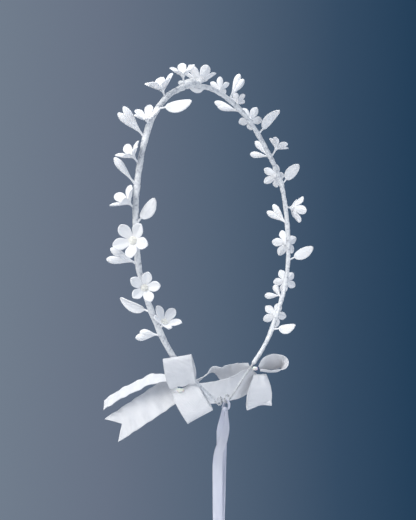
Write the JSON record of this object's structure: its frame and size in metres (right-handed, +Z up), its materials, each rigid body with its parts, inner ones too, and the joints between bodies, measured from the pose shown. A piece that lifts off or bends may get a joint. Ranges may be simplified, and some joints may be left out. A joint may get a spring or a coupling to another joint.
{
  "type": "flower crown",
  "caption": "Wired bridal hair vine with white flowers, buds and leaves on an openable ring, ribbon bows at the back and a narrow satin tie.",
  "frame": {"origin": "inner side of the wire at the top of the ring, where a hook or peg carries the crown", "axes": "+Z up with the crown hanging, +Y along the ring's axis through the head opening, +X across the ring"},
  "size_m": [0.188, 0.0657, 0.4529],
  "materials": {
    "petal_white": "matte white moulded petal compound with a fine grain",
    "tape_white": "white crepe floral tape, spirally wound",
    "wire_steel": "bare florist wire, dull",
    "ribbon_white": "matte white grosgrain ribbon with fine cross ribs",
    "satin_white": "glossy white satin ribbon",
    "glue_amber": "clear yellowish hot-melt glue, glossy"
  },
  "bodies": {
    "right_half": {"right_core_wire": "wire_steel", "right_tape_wrap": "tape_white", "lap_binding": "tape_white", "flower_09": "petal_white", "flower_10": "petal_white", "flower_11": "petal_white", "flower_12": "petal_white", "flower_13": "petal_white", "flower_14": "petal_white", "flower_15": "petal_white", "flower_16": "petal_white", "flower_17": "petal_white", "flower_18": "petal_white", "bud_pair_5": "petal_white", "bud_pair_6": "petal_white", "bud_pair_7": "petal_white", "bud_pair_8": "petal_white", "bud_pair_9": "petal_white", "leaf_4": "petal_white", "leaf_5": "petal_white", "leaf_6": "petal_white", "leaf_7": "petal_white", "leaf_8": "petal_white", "right_bow_left_loop": "ribbon_white", "right_bow_upper_loop": "ribbon_white", "right_bow_lower_loop": "ribbon_white", "right_bow_glue": "glue_amber"},
    "left_half": {"left_core_wire": "wire_steel", "left_tape_wrap": "tape_white", "flower_01": "petal_white", "flower_02": "petal_white", "flower_03": "petal_white", "flower_04": "petal_white", "flower_05": "petal_white", "flower_06": "petal_white", "flower_07": "petal_white", "flower_08": "petal_white", "bud_pair_1": "petal_white", "bud_pair_2": "petal_white", "bud_pair_3": "petal_white", "bud_pair_4": "petal_white", "leaf_1": "petal_white", "leaf_2": "petal_white", "leaf_3": "petal_white", "left_bow_upper_loop": "ribbon_white", "left_bow_lower_loop": "ribbon_white", "left_bow_long_tail": "ribbon_white", "left_bow_narrow_tail": "ribbon_white", "left_bow_glue": "glue_amber"},
    "tie": {"tie_knot": "satin_white", "tie_tail_front": "satin_white", "tie_tail_back": "satin_white"}
  },
  "joints": [
    {"name": "ring_opening", "type": "hinge", "parent": "right_half", "child": "left_half", "pos_m": [-0.02203, 0, 0.0014], "axis": [0, 1, 0], "range_deg": [0, 12], "stiffness_Nm_per_rad": 0.3},
    {"name": "tie_swing", "type": "hinge", "parent": "right_half", "child": "tie", "pos_m": [0.0162, 0, -0.18312], "axis": [1, 0, 0], "range_deg": [-35, 35]}
  ]
}
